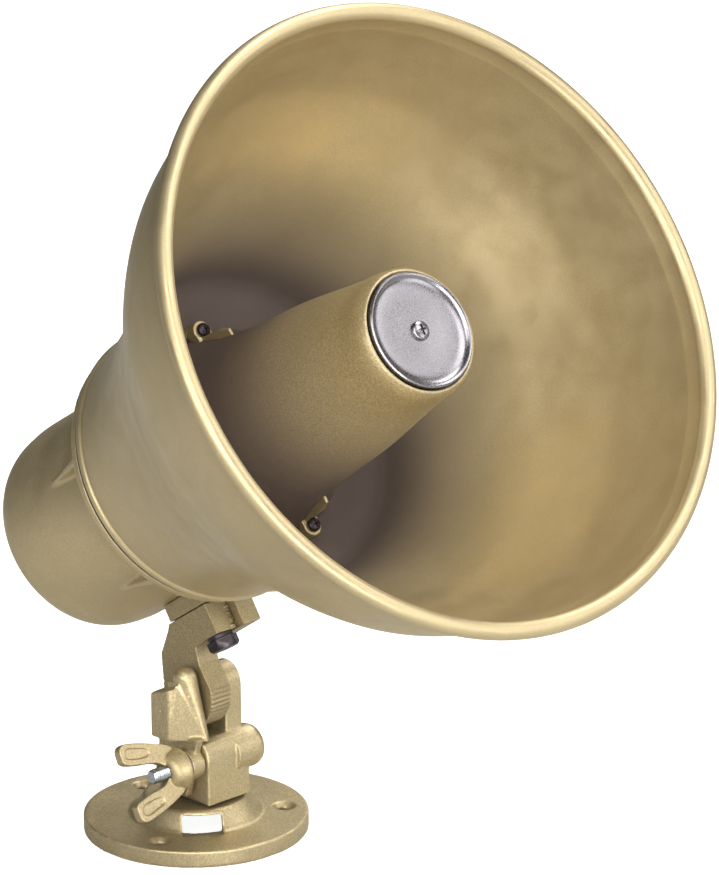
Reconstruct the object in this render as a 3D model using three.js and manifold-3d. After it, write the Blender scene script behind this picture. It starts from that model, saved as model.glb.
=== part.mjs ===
// Re-entrant horn loudspeaker on a swivel base, in millimetres, +Z up.
// The origin is on the pan axis, in the plane of the base's underside. The mouth of the horn faces -Y,
// tilted up. The tilt hinge and the clamp bolt lie along X, with the wing nut on the -X side.
import * as THREE from 'three';
import { mergeVertices } from 'three/addons/utils/BufferGeometryUtils.js';
import { ConvexGeometry } from 'three/addons/geometries/ConvexGeometry.js';
import Module from 'manifold-3d';

const wasm = await Module();
wasm.setup();

// ---- driving dimensions -------------------------------------------------------------------------
const rad = THREE.MathUtils.degToRad;
const GAP = 0.3;

const BASE_R = 44.5;
const BASE_H = 6.7;
const BASE_TURN = rad(-36.3);
const FIXING_R = 35;
const FIXING_HOLE_R = 2.8;
const HUB_R = 25.5;
const HUB_TOP_R = 20.5;
const HUB_TOP_Z = 14.6;
const HUB_ROOF = 2;
const SLOT_W = 16;
const POST_R = 6;
const POST_HEAD_R = 7.2;
const POST_HEAD_Z = [22, 26];

const BOLT_Y = -11;
const BOLT_Z = 33;
const BOLT_R = 3;
const BLOCK = { x: [-9.5, 12.4], y: [-18, 11], z: [16, 42] };
const RIGHT_BOSS_R = 8.8;
const RIGHT_BOSS_X = 21;
const LEFT_BOSS_R = 6.3;
const LEFT_BOSS_X = -16.4;
const JAW_FACE_X = 5.6;

const HINGE_Y = -1.9;
const HINGE_Z = 58.5;
const KNUCKLE_R = 14.3;
const TOOTH_DEPTH = 0.6;
const ARM_HALF_W = 5.2;
const PIN_R = 2.5;
const PIN_X = [-17, 12.6];

const HORN_TILT = rad(34.34);
const SEAM_Y = -3.21;
const SEAM_Z = 153.02;
const MOUTH_R = 128.94;
const MOUTH_A = 172.85;
const BEAD_R = 3.54;
const BADGE_A = 156.9;
const LUG_R = 43.45;
const LUG_A = 44;
const LUG_ANGLES = [98, 278].map(rad);
const FLOOR_A = [30, 33];
const COVER_R = 42.6;
const FLANGE_R = 55.4;
const FLANGE_A = [-4.5, -0.9];
const COVER_END_A = -83.4;
const COVER_SCREW_R = 49.6;
const COVER_SCREW_ANGLES = [52, 128, 195, 345].map(rad);
const COVER_RIB_ANGLES = [90, 22, 158, 229, 311].map(rad);
const DRIVER_SCREW_ANGLES = [90, 210, 330].map(rad);
const DRIVER_SCREW_R = 33;
const FOOT_BOLT_A = -28;
const ARM_TOP_H = -50;
const PAD_BOTTOM_H = -62.8;
const HEX_R = 6.35;
const HEX_H = 4.2;

// ---- solids -------------------------------------------------------------------------------------
function toSolid(geometry) {
  const bare = geometry.clone();
  bare.deleteAttribute('normal');
  bare.deleteAttribute('uv');
  const merged = mergeVertices(bare, 1e-4);
  const place = merged.attributes.position;
  const index = Uint32Array.from(merged.index.array);
  const a = new THREE.Vector3();
  const b = new THREE.Vector3();
  const c = new THREE.Vector3();
  let volume = 0;
  for (let i = 0; i < index.length; i += 3) {
    a.fromBufferAttribute(place, index[i]);
    b.fromBufferAttribute(place, index[i + 1]);
    c.fromBufferAttribute(place, index[i + 2]);
    volume += a.dot(b.cross(c));
  }
  if (volume < 0) {
    for (let i = 0; i < index.length; i += 3) {
      [index[i + 1], index[i + 2]] = [index[i + 2], index[i + 1]];
    }
  }
  const vertProperties = Float32Array.from(place.array);
  return new wasm.Manifold(new wasm.Mesh({ numProp: 3, vertProperties, triVerts: index }));
}

function toGeometry(solid) {
  const mesh = solid.getMesh();
  const geometry = new THREE.BufferGeometry();
  geometry.setAttribute('position', new THREE.BufferAttribute(mesh.vertProperties, 3));
  geometry.setIndex(new THREE.BufferAttribute(mesh.triVerts, 1));
  geometry.computeVertexNormals();
  return geometry;
}

// Joins the first list of geometries and cuts the second list from them.
function build(added, removed = []) {
  let solid = toSolid(added[0]);
  for (const geometry of added.slice(1)) solid = solid.add(toSolid(geometry));
  for (const geometry of removed) solid = solid.subtract(toSolid(geometry));
  return toGeometry(solid);
}

// A turned shape about +Z from [radius, height] points; a ring's outline is closed by this function.
function turned(points, segments = 28) {
  const ring = points.every(([r]) => r > 0);
  const outline = ring ? [...points, points[0]] : points;
  const profile = outline.map(([r, z]) => new THREE.Vector2(r, z));
  return new THREE.LatheGeometry(profile, segments).rotateX(Math.PI / 2);
}

function ringProfile(inner, outer, low, high) {
  return [[inner, low], [outer, low], [outer, high], [inner, high]];
}

function rodProfile(r, low, high) {
  return [[0, low], [r, low], [r, high], [0, high]];
}

// A bar along +Z of the given outline in X and Y.
function bar(points, low, high) {
  const shape = new THREE.Shape(points.map(([x, y]) => new THREE.Vector2(x, y)));
  const geometry = new THREE.ExtrudeGeometry(shape, { depth: high - low, bevelEnabled: false });
  return geometry.translate(0, 0, low);
}

function box(x, y, z) {
  const size = [x, y, z].map(([low, high]) => high - low);
  const middle = [x, y, z].map(([low, high]) => (low + high) / 2);
  return new THREE.BoxGeometry(...size).translate(...middle);
}

// Turns a shape built about +Z so that it lies about +X.
function alongX(geometry) {
  return geometry.rotateY(Math.PI / 2);
}

// A bar along X of the given outline in Y and Z.
function sideBar(points, low, high) {
  return bar(points, low, high).rotateX(Math.PI / 2).rotateZ(Math.PI / 2);
}

function onBoltLine(geometry) {
  return alongX(geometry).translate(0, BOLT_Y, BOLT_Z);
}

function onHingeLine(geometry) {
  return alongX(geometry).translate(0, HINGE_Y, HINGE_Z);
}

function hull(points) {
  return new ConvexGeometry(points.map((p) => new THREE.Vector3(...p)));
}

// Points spread over a ball, for a rounded end of a hull.
function ball([x, y, z], r) {
  const { position } = new THREE.IcosahedronGeometry(r, 1).attributes;
  const points = [];
  for (let i = 0; i < position.count; i += 1) {
    points.push([x + position.getX(i), y + position.getY(i), z + position.getZ(i)]);
  }
  return points;
}

function atAngle(geometry, r, angle, z = 0) {
  return geometry.translate(r, 0, z).rotateZ(angle);
}

// ---- materials ----------------------------------------------------------------------------------
function finish(color, roughness, metalness) {
  return new THREE.MeshStandardMaterial({ color, roughness, metalness });
}

const paint = finish(0xb7a06d, 0.55, 0.15);
const zinc = finish(0xc9ced3, 0.3, 0.9);
const darkSteel = finish(0x3c3a3c, 0.45, 0.8);
const bright = finish(0xd5d4da, 0.25, 0.9);
const rubber = finish(0x1d1c1b, 0.85, 0);
const ferrite = finish(0x35363a, 0.8, 0.1);
const copper = finish(0xb0703c, 0.4, 0.8);
const phenolic = finish(0x6a4a2c, 0.6, 0);
const plastic = finish(0x2a2a2a, 0.6, 0);

const speaker = new THREE.Group();
const base = new THREE.Group();
const horn = new THREE.Group();
base.rotation.z = BASE_TURN;
horn.position.set(0, SEAM_Y, SEAM_Z);
horn.rotation.x = Math.PI / 2 - HORN_TILT;
speaker.add(base, horn);

function piece(parent, name, geometry, material) {
  const mesh = new THREE.Mesh(geometry, material);
  mesh.name = name;
  parent.add(mesh);
}

// ---- base ---------------------------------------------------------------------------------------
function baseFlange() {
  const body = turned([
    [HUB_R - 3, 0], [BASE_R, 0], [BASE_R, BASE_H - 0.6], [BASE_R - 0.6, BASE_H], [HUB_R, BASE_H],
    [HUB_TOP_R + 0.8, HUB_TOP_Z - 0.8], [HUB_TOP_R, HUB_TOP_Z], [POST_R + 0.2, HUB_TOP_Z],
    [POST_R + 0.2, HUB_TOP_Z - HUB_ROOF], [HUB_TOP_R - 2, HUB_TOP_Z - HUB_ROOF], [HUB_R - 3, BASE_H - 1],
  ], 40);
  const slot = box([-SLOT_W / 2, SLOT_W / 2], [-BASE_R, BASE_R], [BASE_H, HUB_TOP_Z - HUB_ROOF]);
  const reach = box([-SLOT_W / 2, SLOT_W / 2], [-HUB_R - 1, HUB_R + 1], [BASE_H - 0.7, BASE_H + 1]);
  const holes = [0, 120, 240].map((deg) => {
    const sink = turned([
      [0, -1], [FIXING_HOLE_R, -1], [FIXING_HOLE_R, BASE_H - 1.8], [FIXING_HOLE_R + 1.8, BASE_H],
      [FIXING_HOLE_R + 1.8, BASE_H + 1], [0, BASE_H + 1],
    ], 12);
    return atAngle(sink, FIXING_R, rad(deg));
  });
  return build([body], [slot, reach, ...holes]);
}

function swivelPost() {
  const foot = HUB_TOP_Z - HUB_ROOF - GAP;
  return build([turned([
    [0, foot - 1.2], [POST_HEAD_R, foot - 1.2], [POST_HEAD_R, foot], [POST_R, foot],
    [POST_R, POST_HEAD_Z[0]], [POST_HEAD_R, POST_HEAD_Z[0] + 0.5], [POST_HEAD_R, POST_HEAD_Z[1] - 0.5],
    [POST_R, POST_HEAD_Z[1]], [0, POST_HEAD_Z[1]],
  ], 24)]);
}

piece(base, 'base_flange', baseFlange(), paint);
piece(base, 'swivel_post', swivelPost(), zinc);

// ---- clamp --------------------------------------------------------------------------------------
function pinHole(low, high) {
  return onHingeLine(turned(rodProfile(PIN_R + 0.1, low, high), 12));
}

// An arch that rises from the block beside the arm.
function rightJaw() {
  const round = 8.2;
  const middle = [-4, 60.2];
  const outline = [];
  for (let i = 0; i <= 10; i += 1) {
    const angle = Math.PI * (1 - i / 10);
    outline.push([middle[0] + round * Math.cos(angle), middle[1] + round * Math.sin(angle)]);
  }
  const foot = BLOCK.z[1] - 4;
  return sideBar([[middle[0] - round, foot], ...outline, [middle[0] + round, foot]], JAW_FACE_X, 14.2);
}

function clampBlock() {
  const { x, y, z } = BLOCK;
  const block = sideBar([
    [y[0], z[0]], [y[1], z[0]], [y[1], z[1]], [BOLT_Y - 1.5, z[1]], [-15.4, 40.9], [-17.3, 38.3], [y[0], 35],
  ], ...x);
  const boss = onBoltLine(turned([
    [0, 6], [RIGHT_BOSS_R, 6], [RIGHT_BOSS_R, RIGHT_BOSS_X - 3], [RIGHT_BOSS_R - 1, RIGHT_BOSS_X - 0.9],
    [RIGHT_BOSS_R - 2.8, RIGHT_BOSS_X], [0, RIGHT_BOSS_X],
  ], 24));
  const bore = turned([
    [0, z[0] - 1], [POST_R + 0.2, z[0] - 1], [POST_R + 0.2, POST_HEAD_Z[0] - GAP],
    [POST_HEAD_R + GAP, POST_HEAD_Z[0] - GAP], [POST_HEAD_R + GAP, POST_HEAD_Z[1] + GAP],
    [0, POST_HEAD_Z[1] + GAP],
  ], 24);
  const boltHole = onBoltLine(turned([
    [0, x[0] - 1], [BOLT_R + 0.3, x[0] - 1], [BOLT_R + 0.3, RIGHT_BOSS_X - 4.4],
    [5.6, RIGHT_BOSS_X - 4.4], [5.6, RIGHT_BOSS_X + 1], [0, RIGHT_BOSS_X + 1],
  ], 16));
  return build([block, rightJaw(), boss], [bore, boltHole, pinHole(4, PIN_X[1] + GAP)]);
}

function leftJaw() {
  const low = BLOCK.z[1] + GAP;
  const top = 66;
  const lower = hull([
    [-19, 4.5, low], [-19, -5.2, low], [-7.8, -16.2, low], [-JAW_FACE_X, -15, low], [-JAW_FACE_X, 6, low],
    [-17, 6, low], [-19, 4.5, top - 1], [-19, -5.2, top - 1], [-16, -8.2, top], [-JAW_FACE_X, -6, top],
    [-JAW_FACE_X, 6, top], [-17, 6, top],
  ]);
  const ridge = hull([
    ...ball([-10.6, -6.4, 67.4], 4.9), [-7.8, -16.2, low], [-JAW_FACE_X, -15, low], [-14, -10, low],
    [-JAW_FACE_X, -2, low], [-9, 1, 66],
  ]);
  const neck = hull([
    [-13.2, -14, 40], [-9.9, -14, 40], [-13.2, 1, 44], [-9.9, 1, 44], [-13.2, -16, 44], [-9.9, -16, 44],
    [-13.2, -9, 18.5], [-9.9, -9, 18.5], [-13.2, -4, 18.5], [-9.9, -4, 18.5],
  ]);
  const boss = onBoltLine(turned(rodProfile(LEFT_BOSS_R, LEFT_BOSS_X, BLOCK.x[0] - GAP - 0.1), 24));
  const bore = onBoltLine(turned(rodProfile(BOLT_R + 0.3, LEFT_BOSS_X - 1, BLOCK.x[0] + 1), 16));
  const mark = alongX(turned(rodProfile(0.9, -20, -18.2), 10)).translate(0, -1.4, 54.5);
  return build([lower, ridge, neck, boss], [bore, mark, pinHole(PIN_X[0] - GAP, -4)]);
}

function hingePin() {
  return build([onHingeLine(turned([
    [0, PIN_X[0]], [PIN_R - 0.4, PIN_X[0]], [PIN_R, PIN_X[0] + 0.4], [PIN_R, PIN_X[1] - 0.4],
    [PIN_R - 0.4, PIN_X[1]], [0, PIN_X[1]],
  ], 16))]);
}

function clampBolt() {
  const head = RIGHT_BOSS_X - 4.1;
  return build([onBoltLine(turned([
    [0, -33.4], [BOLT_R - 0.6, -33.4], [BOLT_R, -32.6], [BOLT_R, head], [5, head], [5, head + 3],
    [4.2, head + 3.6], [0, head + 3.6],
  ], 16))]);
}

function wing(side) {
  const outline = [
    [-19.5, 5], [-20.5, 8.6], [-25, 11.2], [-31, 13.2], [-37, 14.8], [-42.6, 15.8], [-45, 14.6],
    [-45.8, 11.6], [-45.2, 8.4], [-38, 6.4], [-31, 5.4], [-27.5, 4.4], [-25.6, 2.4],
  ];
  const plate = bar(outline.map(([x, r]) => [x, side * r]), -1.9, 1.9);
  return plate.rotateX(Math.PI / 2);
}

function wingNut() {
  const hub = alongX(turned([
    [0, -26], [5.4, -26], [6.6, -24.8], [7.6, -22], [8.4, -20.4], [8.4, -18.1], [0, -18.1],
  ], 24));
  const bore = alongX(turned(rodProfile(BOLT_R + 0.3, -32, -17), 16));
  const turn = rad(-26);
  return build([hub, wing(1), wing(-1)], [bore]).rotateX(turn).translate(0, BOLT_Y, BOLT_Z);
}

piece(speaker, 'clamp_block', clampBlock(), paint);
piece(speaker, 'clamp_jaw', leftJaw(), paint);
piece(speaker, 'hinge_pin', hingePin(), darkSteel);
piece(speaker, 'clamp_bolt', clampBolt(), zinc);
piece(speaker, 'clamp_washer', build([
  onBoltLine(turned(ringProfile(BOLT_R + 0.3, 6.6, -17.8, -16.7), 24)),
]), zinc);
piece(speaker, 'wing_nut', wingNut(), paint);

// ---- tilting arm --------------------------------------------------------------------------------
// Side view of a point at a given distance along the horn axis and height above it, as [y, z].
function hornPoint(a, h) {
  const cos = Math.cos(HORN_TILT);
  const sin = Math.sin(HORN_TILT);
  return [SEAM_Y - a * cos + h * sin, SEAM_Z + a * sin + h * cos];
}

function tiltArm() {
  const outline = [hornPoint(-48.5, ARM_TOP_H), [9, 81.7], [13.2, 71]];
  const teeth = 27;
  const from = 8;
  const to = -200;
  for (let i = 0; i <= teeth * 2; i += 1) {
    const angle = rad(from + ((to - from) * i) / (teeth * 2));
    const r = KNUCKLE_R - (i % 2 ? TOOTH_DEPTH : 0);
    outline.push([HINGE_Y + r * Math.cos(angle), HINGE_Z + r * Math.sin(angle)]);
  }
  outline.push([-12.3, 67.3], [-9, 72], hornPoint(-38.5, PAD_BOTTOM_H), hornPoint(-22.8, PAD_BOTTOM_H));
  const serrations = 5;
  const step = (ARM_TOP_H - PAD_BOTTOM_H) / serrations;
  const plate = sideBar([...outline, hornPoint(-22.8, ARM_TOP_H)], -ARM_HALF_W, ARM_HALF_W);
  const ridges = [];
  for (let i = 0; i < serrations; i += 1) {
    const h = PAD_BOTTOM_H + step * (i + 0.5);
    const tooth = [hornPoint(-24, h - 0.8), hornPoint(-24, h + 0.8), hornPoint(-21.8, h)];
    ridges.push(sideBar(tooth, ARM_HALF_W - 2, ARM_HALF_W));
  }
  const hole = turned(rodProfile(3.3, PAD_BOTTOM_H - 4, ARM_TOP_H + 4), 16);
  const footHole = hole.rotateX(-Math.PI / 2).translate(0, 0, FOOT_BOLT_A);
  footHole.rotateX(Math.PI / 2 - HORN_TILT).translate(0, SEAM_Y, SEAM_Z);
  const pivot = onHingeLine(turned(rodProfile(PIN_R + 0.2, -8, 8), 16));
  return build([plate, ...ridges], [footHole, pivot]);
}

piece(speaker, 'tilt_arm', tiltArm(), paint);

// The foot, in the horn's own frame: X across, Y up and Z along the axis towards the mouth.
function upright(geometry) {
  return geometry.rotateX(-Math.PI / 2).translate(0, 0, FOOT_BOLT_A);
}

function hornFoot() {
  const saddle = box([-ARM_HALF_W, 14.5], [ARM_TOP_H + GAP, -34], [-47, -18]);
  const cheek = box([ARM_HALF_W + GAP, 14.5], [-63.4, ARM_TOP_H + 1], [-45, -18]);
  const round = turned(rodProfile(COVER_R + 0.4, -60, -4), 40);
  const thread = upright(turned(rodProfile(BOLT_R + 0.3, ARM_TOP_H - 6, -30), 16));
  return build([saddle, cheek], [round, thread]);
}

function footBolt() {
  const under = PAD_BOTTOM_H - 1.9;
  const head = new THREE.CylinderGeometry(HEX_R, HEX_R, HEX_H, 6).rotateX(Math.PI / 2);
  head.translate(0, 0, under - HEX_H / 2);
  const shank = turned(rodProfile(BOLT_R, under - 1, -43.6), 16);
  return build([upright(head), upright(shank)]);
}

piece(horn, 'horn_foot', hornFoot(), paint);
piece(horn, 'foot_bolt', footBolt(), darkSteel);
piece(horn, 'foot_washer', build([
  upright(turned(ringProfile(3.3, 5.2, PAD_BOTTOM_H - 1.6, PAD_BOTTOM_H - GAP), 16)),
]), darkSteel);

// ---- bell and re-entrant cone -------------------------------------------------------------------
const BELL_OUTSIDE = [
  [54.6, 0.9], [56.2, 1.2], [56.9, 2.6], [56.3, 4.6], [57, 7.1], [58.3, 13.2], [60, 21.3], [62.4, 29.4],
  [65, 37.6], [68.1, 45.7], [71.7, 53.8], [76, 62.4], [81.3, 72.1], [87.3, 82.2], [93.7, 92.4],
  [100.4, 102.5], [106.5, 112.7], [111.7, 122.9], [115.3, 133], [118.3, 143.7], [120.6, 154.3], [122.2, 164],
];
const WALL = 1.9;

function bellHorn() {
  const outline = [...BELL_OUTSIDE];
  const middle = [MOUTH_R - BEAD_R, MOUTH_A - BEAD_R];
  for (let i = 0; i <= 10; i += 1) {
    const angle = rad(-115 + i * 29);
    outline.push([middle[0] + BEAD_R * Math.cos(angle), middle[1] + BEAD_R * Math.sin(angle)]);
  }
  for (let i = BELL_OUTSIDE.length - 1; i > 9; i -= 2) {
    const [r, a] = BELL_OUTSIDE[i];
    const [r0, a0] = BELL_OUTSIDE[i - 1];
    const length = Math.hypot(r - r0, a - a0);
    outline.push([r - (WALL * (a - a0)) / length, a + (WALL * (r - r0)) / length]);
  }
  outline.push(
    [64, 41], [61, 36], [57, FLOOR_A[1] + 0.6], [53, FLOOR_A[1]], [11, FLOOR_A[1]], [11, FLOOR_A[0]],
    [56, FLOOR_A[0]], [58.4, 26], [56.6, 16], [54.4, 7], [53.4, 0.9],
  );
  const body = turned(outline, 36);
  const posts = LUG_ANGLES.map((angle) => (
    atAngle(turned(rodProfile(4, FLOOR_A[1] - 1, LUG_A - 5.3), 12), LUG_R, angle)));
  const holes = LUG_ANGLES.map((angle) => (
    atAngle(turned(rodProfile(1.7, FLOOR_A[0] + 1, LUG_A), 10), LUG_R, angle)));
  const screws = COVER_SCREW_ANGLES.map((angle) => (
    atAngle(turned(rodProfile(4.2, 0.9, 12), 10), 51.6, angle)));
  const taps = COVER_SCREW_ANGLES.map((angle) => (
    atAngle(turned(rodProfile(1.8, -1, 9), 10), COVER_SCREW_R, angle)));
  return build([body, ...posts, ...screws], [...holes, ...taps]);
}

const CONE_OUTSIDE = [
  [42.4, 39], [40.6, 43], [38.6, 48], [37.2, 53], [36, 59], [34.9, 67], [33.9, 80], [33.3, 91],
  [32.4, 103], [31.1, 114], [29.6, 125], [27.9, 139], [27.3, 146], [26.9, 150.5],
];

const TAIL_A = 58.9;
function lug(angle) {
  const boss = atAngle(turned(rodProfile(4.25, LUG_A - 5, LUG_A), 12), LUG_R, angle);
  const bridge = box([36.5, LUG_R], [-4, 4], [LUG_A - 5, LUG_A]).rotateZ(angle);
  const tail = hull([
    [LUG_R + 0.6, 2.4, LUG_A - 1], [LUG_R + 0.6, -2.4, LUG_A - 1],
    [37, 2.4, LUG_A - 1], [37, -2.4, LUG_A - 1],
    [38.7, 0.6, TAIL_A], [38.7, -0.6, TAIL_A], [35.4, 0.6, TAIL_A], [35.4, -0.6, TAIL_A],
  ]).rotateZ(angle);
  return [boss, bridge, tail];
}

function reentrantCone() {
  const inside = CONE_OUTSIDE.map(([r, a]) => [r - WALL, a]).reverse();
  const body = turned([
    [0, BADGE_A - 6.4], [22, BADGE_A - 6.4], ...inside, ...CONE_OUTSIDE, [26.3, BADGE_A - 3],
    [25.4, BADGE_A - 1.3], [24.5, BADGE_A - 0.8], [23.8, BADGE_A - 1.6], [23.8, BADGE_A - 3.4],
    [0, BADGE_A - 3.4],
  ], 32);
  const pocket = turned(rodProfile(2.2, BADGE_A - 5.6, BADGE_A), 10);
  const clear = turned([[0, 36], ...CONE_OUTSIDE.map(([r, a]) => [r - WALL, a]), [0, BADGE_A - 6]], 32);
  const sockets = LUG_ANGLES.map((angle) => (
    atAngle(turned(rodProfile(1.9, LUG_A - 6, LUG_A + 4), 10), LUG_R, angle)));
  const recess = LUG_ANGLES.map((angle) => (
    atAngle(turned(rodProfile(3.1, LUG_A, LUG_A + 12), 12), LUG_R, angle)));
  const lugs = LUG_ANGLES.flatMap(lug);
  return build([build(lugs, [clear]), body], [pocket, ...sockets, ...recess]);
}

function badgeDisc() {
  return build([turned([
    [2.5, BADGE_A - 3.1], [23.5, BADGE_A - 3.1], [23.5, BADGE_A + 0.4], [23, BADGE_A + 0.9],
    [22.2, BADGE_A + 0.6], [20.5, BADGE_A - 0.4], [14, BADGE_A - 1.4], [7, BADGE_A - 1.9],
    [2.5, BADGE_A - 2],
  ], 32)]);
}

function panScrew(headR, headH, shankR, length, under) {
  return turned([
    [0, under - length], [shankR, under - length], [shankR, under], [headR, under],
    [headR, under + headH * 0.45], [headR * 0.75, under + headH * 0.88], [0, under + headH],
  ], 12);
}

function throatTube() {
  return build([turned([
    [9, 26.6], [22, 26.6], [22, FLOOR_A[0] - GAP], [10.6, FLOOR_A[0] - GAP], [10.6, 60], [12.4, 90],
    [14.6, 118], [17, 140], [15.6, 140], [13.2, 118], [11, 90], [9, 60],
  ], 28)]);
}

piece(horn, 'bell_horn', bellHorn(), paint);
piece(horn, 'reentrant_cone', reentrantCone(), paint);
piece(horn, 'badge_disc', badgeDisc(), bright);
piece(horn, 'badge_screw', build([panScrew(4, 2.3, 1.9, 3.1, BADGE_A - 1.6)]), bright);
['lug_screw_top', 'lug_screw_bottom'].forEach((name, i) => {
  const screw = atAngle(panScrew(2.85, 2, 1.4, 11, LUG_A + GAP), LUG_R, LUG_ANGLES[i]);
  piece(horn, name, build([screw]), darkSteel);
});
piece(horn, 'throat_tube', throatTube(), plastic);

// ---- compression driver -------------------------------------------------------------------------
const CAP_A = [12.5, 24.6];

function driverHoles(r, low, high) {
  return DRIVER_SCREW_ANGLES.map((angle) => (
    atAngle(turned(rodProfile(r, low, high), 8), DRIVER_SCREW_R, angle)));
}

function driverCap() {
  const body = turned([
    [8, CAP_A[1]], [8, 20], [13, 16.4], [24, 14.4], [29, CAP_A[0]], [38.5, CAP_A[0]], [38.5, 20],
    [36.5, 22], [24, 22], [20, CAP_A[1]],
  ].reverse(), 22);
  return build([body], driverHoles(1.9, 10, 26));
}

const DIAPHRAGM_CENTRE_A = 12.4;
function diaphragm() {
  return build([turned([
    [0, DIAPHRAGM_CENTRE_A], [6, 12], [12, 10.8], [15.6, 9.2], [21, 9.6], [27.4, 9.2], [27.4, 8.7],
    [21, 9.1], [15.6, 8.6], [11.8, 10.2], [6, 11.5], [0, 11.9],
  ].reverse(), 20)]);
}

function phasePlug() {
  const plug = turned([[0, 14.3], [6.8, 14.1], [7.2, 15.5], [5.8, 17.6], [3.4, 21], [0, 24]], 18);
  const fins = DRIVER_SCREW_ANGLES.map((angle) => box([1, 7.6], [-0.5, 0.5], [18, 20]).rotateZ(angle));
  return build([plug, ...fins]);
}

piece(horn, 'throat_gasket', build([turned(ringProfile(9.4, 19.6, CAP_A[1] + GAP, 26.3), 20)]), rubber);
piece(horn, 'driver_cap', driverCap(), plastic);
piece(horn, 'diaphragm', diaphragm(), phenolic);
piece(horn, 'phase_plug', phasePlug(), plastic);
piece(horn, 'voice_coil', build([turned(ringProfile(15, 15.9, 1, 8.3), 20)]), copper);
piece(horn, 'top_plate', build(
  [turned(ringProfile(16.8, 37, 2.4, 7.4), 22)],
  driverHoles(1.5, 3.8, 8),
), zinc);
piece(horn, 'spacer_ring', build(
  [turned(ringProfile(28.6, 37.6, 7.7, 12.2), 22)],
  driverHoles(1.9, 7, 13),
), plastic);
piece(horn, 'magnet', build([turned(ringProfile(21, 37.5, -12, 2.1), 22)]), ferrite);
piece(horn, 'yoke', build([turned([
  [0, -18], [36, -18], [37.5, -16.5], [37.5, -12.3], [14.1, -12.3], [14.1, 7], [0, 7],
], 22)]), zinc);
DRIVER_SCREW_ANGLES.forEach((angle, i) => {
  const screw = atAngle(panScrew(2.9, 1.8, 1.3, 17.6, 22 + GAP), DRIVER_SCREW_R, angle);
  piece(horn, `driver_screw_${i + 1}`, build([screw]), zinc);
});

// ---- rear cover and what it holds ---------------------------------------------------------------
function coverRib(angle) {
  return hull([
    [39.5, 3.4, FLANGE_A[0] + 1], [39.5, -3.4, FLANGE_A[0] + 1], [51.5, 2, FLANGE_A[0] + 1],
    [51.5, -2, FLANGE_A[0] + 1], [42.7, 0.6, -39], [42.7, -0.6, -39], [40.6, 0, -42],
  ]).rotateZ(angle);
}

function rearCover() {
  const inside = [
    [49.2, FLANGE_A[1]], [47.6, -5], [43.2, -8], [40.6, -13], [40.2, -30], [40.3, -60], [39.8, -69],
    [37.4, -77], [33, -80.2], [26, -81], [0, -81],
  ];
  const outside = [
    [0, COVER_END_A], [29, COVER_END_A], [34, -82.6], [37, -81.2], [39.2, -79], [41.2, -74.6],
    [42.2, -68], [42.7, -60], [COVER_R, -30], [COVER_R + 0.2, -14], [43.6, -10], [46.4, -7], [50, -5.2],
    [FLANGE_R, FLANGE_A[0]], [FLANGE_R, FLANGE_A[1]],
  ];
  const body = turned([...outside, ...inside], 40);
  const hollow = turned([...[...inside].reverse(), [49.2, 4], [0, 4]], 40);
  const ribs = build(COVER_RIB_ANGLES.map(coverRib), [hollow]);
  const holes = COVER_SCREW_ANGLES.flatMap((angle) => [
    atAngle(turned(rodProfile(2, -9, 1), 10), COVER_SCREW_R, angle),
    atAngle(turned(rodProfile(3.7, -12, FLANGE_A[0] + 0.4), 12), COVER_SCREW_R, angle),
  ]);
  const cableExit = turned(rodProfile(5.4, -90, -78), 16).translate(0, -17, 0);
  return build([body, ribs], [...holes, cableExit]);
}

function cableGrommet() {
  return build([turned([
    [3.2, -86.4], [6.6, -86.4], [7.4, -83.8], [5, -83.8], [5, -80.6], [7.4, -80.6], [6.6, -79], [3.2, -79],
  ].reverse(), 20).translate(0, -17, 0)]);
}

piece(horn, 'seam_gasket', build([turned(ringProfile(54, 55.6, -0.6, 0.6), 40)]), rubber);
piece(horn, 'rear_cover', rearCover(), paint);
COVER_SCREW_ANGLES.forEach((angle, i) => {
  const screw = panScrew(3.2, 2, 1.5, 12, 0).rotateX(Math.PI).translate(0, 0, FLANGE_A[0] + 0.1);
  piece(horn, `cover_screw_${i + 1}`, build([atAngle(screw, COVER_SCREW_R, angle)]), zinc);
});
piece(horn, 'cable_grommet', cableGrommet(), rubber);
piece(horn, 'transformer_bracket', build([box([-30, 30], [-9, 9], [-20, -18.4])]), zinc);
piece(horn, 'line_transformer_core', build(
  [box([-20, 20], [-16, 16], [-45, -25])],
  [box([-13, -7], [-10, 10], [-50, -20]), box([7, 13], [-10, 10], [-50, -20])],
), darkSteel);
piece(horn, 'line_transformer_coil', build(
  [box([-12.4, 12.4], [-9.4, 9.4], [-49, -21])],
  [box([-7.3, 7.3], [-20, 20], [-45.3, -24.7])],
), copper);
piece(horn, 'terminal_block', build(
  [box([-15, 15], [-6, 6], [-62, -50])],
  [-10, 0, 10].map((x) => box([x - 3, x + 3], [-3, 3], [-63, -56])),
), plastic);

export default speaker;
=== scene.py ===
"""The looks of a re-entrant horn loudspeaker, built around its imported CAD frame.

Sizes are in millimetres and become metres where a mesh is made.
The camera and the lights are placed in metres.
"""
import math

import bmesh
import bpy
from mathutils import Matrix, Vector


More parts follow.
